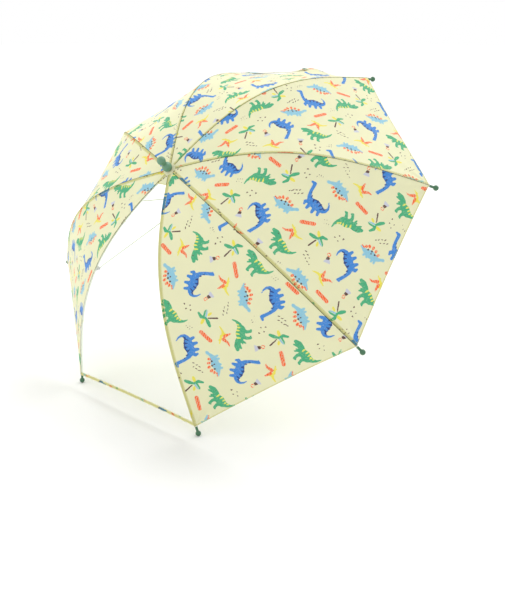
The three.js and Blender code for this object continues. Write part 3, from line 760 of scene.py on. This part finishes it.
def goreShape(start, end, columns, rows, seed, billow=0.0, past=(0.0, 0.0)):
    # Straight across from rib to rib at each station s, and along the ribs' line. The middle sags a
    # little towards the shaft, the seams stand up as a bead with puckers beside them, and pulls fan
    # out from the tips; `past` carries either edge on past its rib. Returns points (rows, columns,
    # 3), the flat cloth and the edge distances.
    random = np.random.default_rng(seed)
    across = np.linspace(-1, 1, columns)[None, :]
    share = np.linspace(0, 1, rows)[:, None]
    end = end - gore["hemDip"] * (1 - across**2) * (end / gore["hem"])
    s = start + (end - start) * share
    radius, z = ribAt(s, gore["lift"])
    slope = facetSlope(slopeAt(s))
    halfWidth = radius * np.sin(halfStep) - gore["seamGap"]
    left = halfWidth * (1 + across)
    right = halfWidth * (1 - across)
    near = np.minimum(left, right)
    bow = np.sin(np.pi * np.clip(s / gore["hem"], 0, 1)) ** 1.5
    rise = -gore["sag"] * (1 - across**2) * bow
    rise = rise + gore["ridge"] * np.exp(-((near / 1.5) ** 2))
    phase = random.uniform(0, 2 * np.pi, 6)
    pucker = np.sin(s * 0.62 + phase[0] + 0.4 * np.sin(s * 0.11 + phase[1]))
    rise = rise + gore["pucker"] * pucker * np.exp(-near / 7) * np.clip(near / 3, 0, 1)
    fromTip = np.hypot(near, gore["hem"] - s)
    fan = np.sin(9 * np.arctan2(near, gore["hem"] - s + 1) + phase[2])
    rise = rise + gore["pull"] * fan * np.exp(-fromTip / 55) * np.clip(near / 12, 0, 1)
    fromHub = np.clip(s / 60, 0, 1)
    drift = np.sin(s * 0.021 + across * 2.1 + phase[3])
    drift = drift + np.sin(s * 0.043 - across * 3.3 + phase[4])
    rise = rise + 0.55 * drift * (1 - across**2) * fromHub
    rise = rise + billow * humpAt(across, s)
    x = radius * np.cos(halfStep) + rise * np.sin(slope)
    lap = np.where(across > 0, past[1], -past[0]) * np.clip(s / 30, 0, 1) * across**8
    y = across * halfWidth + lap
    points = np.stack([x, y, z + rise * np.cos(slope)], -1)
    flat = np.stack([across * halfWidth, np.broadcast_to(s, (rows, columns))], -1)
    edges = np.stack(np.broadcast_arrays(left, right, end - s), -1)
    return points, flat, edges


def sheetPiece(name, points, azimuth):
    quads = gridQuads(*points.shape[:2])
    return meshFrom(name, placed(points, azimuth).reshape(-1, 3), quads, np.zeros((0, 3), int))


def foldWith(piece):
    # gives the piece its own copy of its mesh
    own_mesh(piece)


rowCount = int((gore["hem"] - gore["start"]) / gore["grid"])
columnCount = int(2 * ribAt(gore["hem"])[0] * np.sin(halfStep) / gore["grid"])
# where each gore is cut from the print, and whether it is cut the other way round; the first is
# the yoke's
cuts = [(20, 60, 0), (0, 0, 0), (-71.7, -663.3, 1), (-45.4, -670.0, 1)]
cuts += [(31, 20, 0), (64, -600, 1), (-52, -620, 1), (40, 96, 0)]
for number in range(1, ribs):
    azimuth = 2 * halfStep * number
    billow = gore["billow"] if number == ribs // 2 else 0.0
    past = (gore["past"] * (number == 1), gore["past"] * (number == ribs - 1))
    points, flat, edges = goreShape(
        gore["start"], gore["hem"], columnCount, rowCount, 40 + number, billow, past
    )
    piece = sheetPiece(f"goreCloth{number}", points, azimuth)
    inkCloth(piece, flat.reshape(-1, 2), edges.reshape(-1, 3), cuts[number])
    thicken(piece, gore["thickness"])
    finishPiece(piece, f"gore_{number}", printedCloth, "printed_cloth", f"gore_{number}")
    foldWith(piece)
print("gores made")

# The clear gore, with its cloth yoke at the top and cloth binding on its edge.
window = {
    "film": 0.2,  # mm, its thickness
    "grid": 5.0,
    "filmStop": 4.0,  # mm short of the hem, inside the binding
    "yoke": 27.0,
    "overlap": 6.0,
    "yokeLift": 0.35,
    "yokeEdge": 0.2,
}


def windowFilm():
    # a gore's surface from under the yoke to inside the binding
    filmStart = window["yoke"] - window["overlap"]
    filmEnd = gore["hem"] - window["filmStop"]
    rows = int((filmEnd - filmStart) / window["grid"])
    columns = int(2 * ribAt(filmEnd)[0] * np.sin(halfStep) / window["grid"])
    points, flat, _ = goreShape(filmStart, filmEnd, columns, rows, 71)
    points[..., 2] -= gore["under"]
    film = sheetPiece("windowFilm", points, 0.0)
    storeMap(film.data, flat.reshape(-1, 2))
    thicken(film, window["film"])
    finishPiece(film, "window", clearFilm, "clear_film", "window_gore")
    foldWith(film)


def windowYoke():
    # the top of a gore's surface, in cloth, lifted over the film
    points, flat, edges = goreShape(gore["start"], window["yoke"], 41, 26, 72)
    points[..., 2] += window["yokeLift"]
    edges[..., 2] += window["yokeEdge"]
    yoke = sheetPiece("windowYoke", points, 0.0)
    inkCloth(yoke, flat.reshape(-1, 2), edges.reshape(-1, 3), cuts[0])
    thicken(yoke, gore["thickness"])
    finishPiece(yoke, "window", printedCloth, "printed_cloth")
    foldWith(yoke)


binding = {"width": 8.5, "thick": 1.1, "flatAt": 0.5, "wave": 0.25, "cut": (20, 30, 0)}


def windowBinding():
    # a folded strip round the film's edge: an oval with its sides cut flat, carried from rib to rib
    columns, sides = 180, 20
    across = np.linspace(-1, 1, columns)
    turn = np.linspace(0, 2 * np.pi, sides, endpoint=False)
    middle = gore["hem"] - binding["width"] / 2 - gore["hemDip"] * (1 - across**2)
    radius, z = ribAt(middle, gore["lift"])
    halfWidth = radius * np.sin(halfStep) - gore["seamGap"]
    down = np.array([np.cos(skirtSlope), 0, -np.sin(skirtSlope)])
    out = np.array([np.sin(skirtSlope), 0, np.cos(skirtSlope)])
    centre = np.stack([radius * np.cos(halfStep), across * halfWidth, z], -1)
    along = binding["width"] / 2 * np.cos(turn)
    thick = np.clip(binding["thick"] * np.sin(turn), -binding["flatAt"], binding["flatAt"])
    thick = thick * (1 + 0.1 * np.sin(across * 40)[:, None])
    wave = binding["wave"] * np.sin(across * 55)[:, None, None] * out
    rings = centre[:, None, :] + along[None, :, None] * down + thick[:, :, None] * out + wave
    piece = pieceFrom("windowBinding", [closedTube(rings, centre[0], centre[-1])], sharp=60)
    flatAcross = np.append(np.repeat(across * halfWidth, sides), [0, 0])
    flatAlong = np.append(np.tile(along * 1.6, columns), [0, 0])
    flat = np.stack([flatAcross, flatAlong], -1)
    noSeam = 400  # mm, past both ends, so that no seam is drawn on the strip
    hem = 0.3 + np.abs(flatAlong) * 0.2
    edges = np.stack([flat[:, 0] + noSeam, noSeam - flat[:, 0], hem], -1)
    inkCloth(piece, flat, edges, binding["cut"])
    finishPiece(piece, "window", printedCloth, "printed_cloth", "window_binding")
    foldWith(piece)


windowFilm()
windowYoke()
windowBinding()
print("window made")

# Ribs and stretchers.
rod = {"radius": 1.5, "neck": 6.5, "eye": 1.9, "hole": 0.8, "flat": 0.8, "ease": 0.25}
bar = {"radius": 1.25, "pinEye": 2.3, "rivet": 1.15}
sideAxis = np.array([0.0, 1.0, 0.0])


def eyeRing(centre, radius, hole, half, sides=28):
    # a flat eye: a rectangle with eased corners turned about the pin
    ease = rod["ease"]
    profile = [
        (hole, -half + ease),
        (hole + ease, -half),
        (radius - ease, -half),
        (radius, -half + ease),
        (radius, half - ease),
        (radius - ease, half),
        (hole + ease, half),
        (hole, half - ease),
    ]
    centre = np.asarray(centre, float)
    return turned(profile, centre, sideAxis, [1.0, 0.0, 0.0], sides, ring=True)


def easedIn(distance, length):
    # nought to one over a length, level at both ends
    share = np.clip(distance / length, 0, 1)
    return share * share * (3 - 2 * share)


def ribRod():
    # round wire along the rib's line, pressed flat where it leaves its eye
    s = np.concatenate([np.linspace(1.2, 16, 24), np.linspace(18, ribLine["length"], 110)])
    grown = easedIn(s - rod["neck"] + 2, 5)
    wide = rod["flat"] + (rod["radius"] - rod["flat"]) * grown
    high = rod["eye"] * 0.75 + (rod["radius"] - rod["eye"] * 0.75) * grown
    end = easedIn(ribLine["length"] - s, 1.0) * 0.3 + 0.7
    wire = sweep(meridian(s), wide * end, high * end, sideAxis, 20)
    return [wire, eyeRing([hingeRadius, 0, 0], rod["eye"], rod["hole"], rod["flat"])]


def stretcherRod(pin, runnerEye):
    # straight wire from its rib's pin to the runner's wire, pressed flat at both eyes
    way = runnerEye - pin
    length = np.linalg.norm(way)
    firstEnd, lastEnd = np.linspace(1.4, 12, 14), np.linspace(length - 12, length - 1.2, 14)
    t = np.concatenate([firstEnd, np.linspace(16, length - 16, 30), lastEnd])
    grown = easedIn(t - 4, 5) * easedIn(length - t - 4, 5)
    flatHigh = np.where(t < length / 2, bar["pinEye"], rod["eye"]) * 0.72
    wide = rod["flat"] + (bar["radius"] - rod["flat"]) * grown
    high = flatHigh + (bar["radius"] - flatHigh) * grown
    wire = sweep(pin + t[:, None] * way / length, wide, high, sideAxis, 18)
    return [
        wire,
        eyeRing(pin, bar["pinEye"], bar["rivet"], rod["flat"]),
        eyeRing(runnerEye, rod["eye"], rod["hole"], rod["flat"]),
    ]


# Rib tips and the thread ties.
tip = {
    "stem": 2.4,
    "start": -6.0,
    "ball": 5.2,
    "ballAt": 8.0,
    "bore": 1.8,
    "depth": 7.0,
    "lip": (0.3, 0.4),
    "flare": 0.6,
}


def tipCap():
    # a stem with a rounded lip and a ball, moulded in one; the rod goes up its bore
    stem, start, bore, flare = tip["stem"], tip["start"], tip["bore"], tip["flare"]
    lipOut, lipUp = tip["lip"]
    floor = start + tip["depth"]
    stemEnd = tip["ballAt"] - np.sqrt(tip["ball"] ** 2 - stem**2) - 1.0
    lip = np.linspace(np.pi, np.pi / 2, 5)
    neck = np.linspace(0, 1, 6)[:-1]
    ball = np.linspace(np.pi - np.arcsin((stem + flare) / tip["ball"]), 0, 22)
    outline = np.concatenate(
        [
            [(0, floor), (bore, floor), (bore, start + lipUp)],
            outlineOf(stem - lipOut + lipOut * np.sin(lip), start + lipUp + lipUp * np.cos(lip)),
            outlineOf(stem + flare * neck**2, stemEnd + 1.0 * neck),
            outlineOf(tip["ball"] * np.sin(ball), tip["ballAt"] + tip["ball"] * np.cos(ball)),
        ]
    )
    slope = ribLine["tipSlope"]
    axis = np.array([np.cos(slope), 0, -np.sin(slope)])
    origin = meridian(np.array([ribLine["length"]]))[0]
    return [turned(outline, origin, axis, sideAxis, 40)]


tie = {"stations": (350.0, 120.0), "pitch": 0.6, "thread": 0.28, "clear": 0.35}


def clothTie(s):
    # thread wound round the rod, which holds the seam to it
    radius, z = ribAt(s)
    slope = slopeAt(s)
    axis = np.array([np.cos(slope), 0, -np.sin(slope)])
    turn = np.linspace(0, 2 * np.pi, 10, endpoint=False)
    loops = []
    centre = np.array([float(radius), 0, float(z)])
    for step in (-tie["pitch"], 0.0, tie["pitch"]):
        ringRadius = rod["radius"] + tie["clear"] + tie["thread"] * np.cos(turn)
        profile = outlineOf(ringRadius, step + tie["thread"] * np.sin(turn))
        loops.append(turned(profile, centre, axis, sideAxis, 24, ring=True))
    return loops


for number in range(1, ribs + 1):
    azimuth = (2 * number - 1) * halfStep
    body = f"rib_{number}"
    piece = pieceFrom(f"ribRod{number}", ribRod(), azimuth)
    finishPiece(piece, body, rodPaint, "painted_rod", f"rib_{number}")
    piece = pieceFrom(f"tipCap{number}", tipCap(), azimuth)
    finishPiece(piece, body, tipPlastic, "tip_plastic", f"rib_tip_{number}")
    ties = [loop for station in tie["stations"] for loop in clothTie(station)]
    piece = pieceFrom(f"clothTies{number}", ties, azimuth)
    finishPiece(piece, body, plainCloth, "printed_cloth")
    pinPlace = np.array(joints[f"stretcher_{number}_fold"]["pos_m"]) - hub
    outward = np.cos(azimuth) * windowWay + np.sin(azimuth) * sideWay
    pin = np.array([pinPlace @ outward, 0.0, pinPlace @ shaftUp]) / mm
    runnerEye = np.array([hingeRadius, 0.0, heightOf(middleOf("runner_wire"))])
    stretcher = pieceFrom(f"stretcherRod{number}", stretcherRod(pin, runnerEye), azimuth)
    finishPiece(stretcher, f"stretcher_{number}", rodPaint, "painted_rod", f"stretcher_{number}")
print("ribs, stretchers and tips made")

# Ferrule, and the rosette of cloth under it.
ferrule = {
    "base": 4.4,
    "low": 12.0,
    "lowRadius": 9.3,
    "high": 31.0,
    "highRadius": 8.2,
    "waist": 5.3,
    "bore": 4.3,
    "boreEnd": 27.3,
    "edge": 0.4,
    "blend": 7.0,  # the higher, the sharper the waist
}
upAxis = np.array([0.0, 0.0, 1.0])
origin = np.zeros(3)


def ferruleShape():
    # two balls run into a waist: a soft maximum of the three radii at each height
    top = ferrule["high"] + ferrule["highRadius"]
    share = np.linspace(0, 1, 70)
    height = top - (top - ferrule["base"]) * np.cos(share * np.pi / 2) ** 1.4
    lowBall = np.sqrt(np.maximum(ferrule["lowRadius"] ** 2 - (height - ferrule["low"]) ** 2, 0))
    highBall = np.sqrt(np.maximum(ferrule["highRadius"] ** 2 - (height - ferrule["high"]) ** 2, 0))
    waist = ferrule["waist"] * ((height < ferrule["high"]) & (height > ferrule["low"]))
    power = ferrule["blend"]
    radius = (lowBall**power + highBall**power + waist**power) ** (1 / power)
    bore, base, edge = ferrule["bore"], ferrule["base"], ferrule["edge"]
    inside = [(0, ferrule["boreEnd"]), (bore, ferrule["boreEnd"]), (bore, base + edge)]
    inside.append((bore + edge, base))
    profile = np.concatenate([inside, outlineOf(radius, height)[:-1], [(0, top)]])
    return [turned(profile, origin, upAxis, sideAxis, 64)]


disc = {"hole": 4.6, "rim": 12.6, "scallop": 0.7, "lift": 3.95, "dish": 0.45, "wave": 0.16}


def rosetteShape():
    # a doubled disc of cloth with a scalloped rim, dished over the seams
    sides, rows = 128, 12
    turn = np.linspace(0, 2 * np.pi, sides, endpoint=False)
    rim = disc["rim"] + disc["scallop"] * np.cos(turn * 2 * ribs)
    share = np.linspace(0, 1, rows)[:, None]
    radius = disc["hole"] + (rim[None, :] - disc["hole"]) * share
    lift = disc["lift"] - disc["dish"] * share**2
    lift = lift + disc["wave"] * np.cos(turn * ribs)[None, :] * share
    over = np.stack([radius * np.cos(turn), radius * np.sin(turn), lift + 0.2], -1)
    under = np.stack([radius * np.cos(turn), radius * np.sin(turn), lift - 0.25], -1)
    return [closedRing(np.concatenate([over[::-1], under]))]


finishPiece(pieceFrom("ferruleBalls", ferruleShape()), "frame", sagePlastic, "green_plastic", "ferrule")
rosette = pieceFrom("rosette", rosetteShape())
rosettePlace = np.zeros(3 * len(rosette.data.vertices), np.float32)
rosette.data.vertices.foreach_get("co", rosettePlace)
storeMap(rosette.data, rosettePlace.reshape(-1, 3)[:, :2].astype(float) / mm)
finishPiece(rosette, "frame", plainCloth, "printed_cloth", "top_washer")

# Handle and its collar.
grip = {
    "start": 545.0,
    "end": 640.0,
    "radius": 9.5,
    "hook": 22.0,
    "tail": 6.0,
    "rounding": 3.0,
    "topEase": 0.5,
}
collar = {"bore": 4.3, "length": 14.0, "proud": 0.6, "groove": 0.45, "grooves": (0.3, 0.5)}


def handleShape():
    # a round bar down the shaft, round the hook and a little way up, with a rounded end
    straight = np.linspace(grip["start"], grip["end"], 26)
    first = np.stack([0 * straight, 0 * straight, -straight], -1)
    turn = np.linspace(0, np.pi, 64)[1:]
    bend = np.stack(
        [-grip["hook"] * (1 - np.cos(turn)), 0 * turn, -grip["end"] - grip["hook"] * np.sin(turn)], -1
    )
    rounding = np.linspace(0, np.pi / 2, 9)[1:]
    ends = grip["tail"] - grip["rounding"] + grip["rounding"] * np.sin(rounding)
    tail = np.stack([0 * ends - 2 * grip["hook"], 0 * ends, ends - grip["end"]], -1)
    path = np.concatenate([first, bend, tail])
    radius = np.full(len(path), grip["radius"])
    radius[-len(ends) :] = grip["radius"] - grip["rounding"] + grip["rounding"] * np.cos(rounding)
    radius[0] -= grip["topEase"]
    return [sweep(path, radius, radius, sideAxis, 48)]


def collarShape():
    # a tapered ring with two grooves, where the shaft enters the grip
    low, height, bore = -grip["start"] + 0.3, collar["length"], collar["bore"]
    share = np.linspace(0, 1, 40)
    taper = grip["radius"] + collar["proud"] - 2.0 * easedIn(share - 0.35, 0.65)
    cut = sum(np.exp(-(((share - middle) / 0.035) ** 2)) for middle in collar["grooves"])
    side = outlineOf(taper - collar["groove"] * cut, low + 0.3 + (height - 0.6) * share)
    top = low + height
    rim = [(taper[-1] - 0.5, top), (bore + 0.5, top), (bore, top - 0.5)]
    outline = np.concatenate([[(bore, low + 0.4), (bore + 0.4, low)], side, rim])
    return [turned(outline, origin, upAxis, sideAxis, 56, ring=True)]


finishPiece(pieceFrom("handleGrip", handleShape()), "frame", gripPlastic, "green_plastic", "handle")
finishPiece(pieceFrom("handleCollar", collarShape()), "frame", gripPlastic, "green_plastic", "handle_collar")
print("ferrule and handle made")

# Tie strap and its snap, on the gore opposite the window.
strap = {
    "length": 170.0,
    "width": 18.0,
    "thick": 1.1,
    "station": 472.5,
    "start": 145.0,
    "lift": 1.5,
    "wave": 0.9,
    "waveLength": 17,
    "rows": 90,
    "sides": 24,
    "cut": (44, 60, 0),
}
snap = {"radius": 5.5, "fromEnd": 9, "rim": 0.9, "dome": 1.1}
strap["halfGore"] = float(ribAt(strap["station"])[0] * np.sin(halfStep))
strapAzimuth = 2 * halfStep * (ribs // 2)


def onSkirt(alongRib, acrossGore, lift):
    # a point on the flat skirt of a gore, lifted off the cloth
    radius, z = ribAt(strap["station"] + alongRib, gore["lift"])
    x = radius * np.cos(halfStep) + lift * np.sin(skirtSlope)
    return np.stack(np.broadcast_arrays(x, acrossGore, z + lift * np.cos(skirtSlope)), -1)


def waveAt(place):
    # low even waves along the strap, a cosine of the place
    return strap["wave"] * (1 - np.cos(place / strap["waveLength"]))


def strapShape():
    # a flat doubled band with rounded edges and a round free end, lying in low waves over the cloth
    length = np.linspace(0, 1, strap["rows"])[:, None]
    place = strap["start"] - strap["length"] * length
    endRound = np.sqrt(np.clip(1 - np.clip((length - 0.955) / 0.045, 0, 1) ** 2, 0.02, 1))
    turn = np.linspace(0, 2 * np.pi, strap["sides"], endpoint=False)[None, :]
    wide = strap["width"] / 2 * np.cos(turn) * endRound
    thick = np.clip(1.6 * np.sin(turn), -1, 1) * strap["thick"] / 2
    wave = strap["lift"] + waveAt(place) * np.clip(length * 6, 0, 1)
    over = gore["billow"] * humpAt(place / strap["halfGore"], strap["station"] + wide)
    rings = onSkirt(wide, place + 0 * wide, wave + thick + over)
    return [closedTube(rings[:, ::-1], rings[0].mean(axis=0), rings[-1].mean(axis=0))]


def snapShape():
    # a domed cap on a flat rim
    place = strap["start"] - strap["length"] + snap["fromEnd"]
    below = float(strap["lift"] + waveAt(place) + strap["thick"] / 2)
    over = float(gore["billow"] * humpAt(place / strap["halfGore"], strap["station"]))
    foot = onSkirt(np.array(0.0), np.array(place), below + over)
    axis = np.array([np.sin(skirtSlope), 0, np.cos(skirtSlope)])
    share = np.linspace(0, np.pi / 2, 12)[:-1]
    radius, high = snap["radius"], snap["rim"]
    rim = [(0, 0.0), (radius - 0.3, 0.0), (radius, 0.3), (radius, 0.7), (radius - 0.4, high)]
    dome = outlineOf((radius - 1.0) * np.cos(share), high + snap["dome"] * np.sin(share))
    outline = np.concatenate([rim, dome, [(0, high + snap["dome"])]])
    return [turned(outline, foot, axis, sideAxis, 36)]


tieStrap = pieceFrom("tieStrap", strapShape(), strapAzimuth, sharp=50)
halfWide = strap["width"] / 2
flatWide = np.linspace(-halfWide, halfWide, strap["sides"])
flatLong = np.linspace(0, strap["length"], strap["rows"])
strapFlat = np.stack(
    [
        np.append(np.tile(flatWide, strap["rows"]), [0, 0]),
        np.append(np.repeat(flatLong, strap["sides"]), [0, strap["length"]]),
    ],
    -1,
)
# only the strap's own two edges are sewn, so its ends are left far off
fromEdges = (strapFlat[:, 0] + halfWide + 6, halfWide - strapFlat[:, 0] + 2)
strapEdges = np.stack([*fromEdges, np.full(len(strapFlat), 100.0)], -1)
inkCloth(tieStrap, strapFlat, strapEdges, strap["cut"])
finishPiece(tieStrap, "gore_4", printedCloth, "printed_cloth", "tie_strap")
strapSnap = pieceFrom("strapSnap", snapShape(), strapAzimuth)
finishPiece(strapSnap, "gore_4", sagePlastic, "green_plastic", "strap_snap")
print("strap made")

# CAD nodes that keep their shape and get a finish.
kept = {
    "shaft_tube": shaftPaint,
    "top_notch": whitePlastic,
    "runner_body": whitePlastic,
    "notch_wire": brightWire,
    "runner_wire": brightWire,
    "notch_pin": brightWire,
    "runner_stop_pin": brightWire,
    "top_spring": brightWire,
    "bottom_spring": brightWire,
}
kept.update({f"rib_clip_{number}": brightWire for number in range(1, ribs + 1)})
for node, material in kept.items():
    for materialSlot in frame["nodes"][node].material_slots:
        materialSlot.material = material

# Floor, light and camera.
studio = {
    "floor": srgb(238, 238, 236),
    "floorShade": srgb(236, 236, 234),
    "halfFloor": 60.0,  # metres
    "sky": 1.0,
    "sun": 1.35,
    "sunAngle": 38.0,  # degrees across, for soft shadows
    "sunWay": (-0.12, -0.78, -0.9),
    "side": 22.0,
    "fill": 15.0,
}


def floorPlane():
    corners = np.array([[-1, -1, 0], [1, -1, 0], [1, 1, 0], [-1, 1, 0]]) * studio["halfFloor"]
    piece = meshFrom("floor", corners, np.array([[0, 1, 2, 3]]), np.zeros((0, 3), int))
    material, tree, shader = newMaterial("floorPaint", 0.9)
    shade = rampOf(tree, noiseOf(tree, 3.0, 2.0), 0.2, 0.8)
    colour = mixOf(tree, shade, studio["floor"], studio["floorShade"])
    tree.links.new(colour, shader.inputs["Base Color"])
    shader.inputs["Specular IOR Level"].default_value = 0.0
    piece.data.materials.append(material)


def areaLight(name, place, target, size, power):
    light = bpy.data.lights.new(name, "AREA")
    light.shape = "DISK"
    light.size = size
    light.energy = power
    obj = bpy.data.objects.new(name, light)
    bpy.context.scene.collection.objects.link(obj)
    aim(obj, place, target)


def aim(obj, place, target):
    way = Vector(target) - Vector(place)
    obj.location = place
    obj.rotation_euler = way.to_track_quat("-Z", "Y").to_euler()


floorPlane()
sun = bpy.data.lights.new("sun", "SUN")
sun.energy = studio["sun"]
sun.angle = np.radians(studio["sunAngle"])
sunObject = bpy.data.objects.new("sun", sun)
bpy.context.scene.collection.objects.link(sunObject)
sunPlace = (0.5, 3.0, 3.0)
aim(sunObject, sunPlace, tuple(np.array(sunPlace) + studio["sunWay"]))
areaLight("sideLight", (-2.4, 0.9, 1.7), (0.0, 0.0, 0.3), 1.8, studio["side"])
areaLight("fillLight", (-1.8, -2.4, 1.2), (0.0, 0.0, 0.3), 2.4, studio["fill"])
world = bpy.data.worlds.new("studio")
world.use_nodes = True
world.node_tree.nodes["Background"].inputs[0].default_value = (1, 1, 1, 1)
world.node_tree.nodes["Background"].inputs[1].default_value = studio["sky"]
bpy.context.scene.world = world

# the place is from the hub across, and from the floor up
lens = {"place": (0.960, -0.9275, 0.681), "towards": (-0.5932, 0.7234, -0.3534), "mm": 41.79}
camera = bpy.data.objects.new("camera", bpy.data.cameras.new("camera"))
camera.data.sensor_width = 36.0
camera.data.lens = lens["mm"]
bpy.context.scene.collection.objects.link(camera)
cameraPlace = np.array([hub[0], hub[1], 0.0052]) + np.array(lens["place"])
aim(camera, tuple(cameraPlace), tuple(cameraPlace + np.array(lens["towards"])))
bpy.context.scene.camera = camera
bpy.context.scene.view_settings.view_transform = "Standard"

print("scene ready")
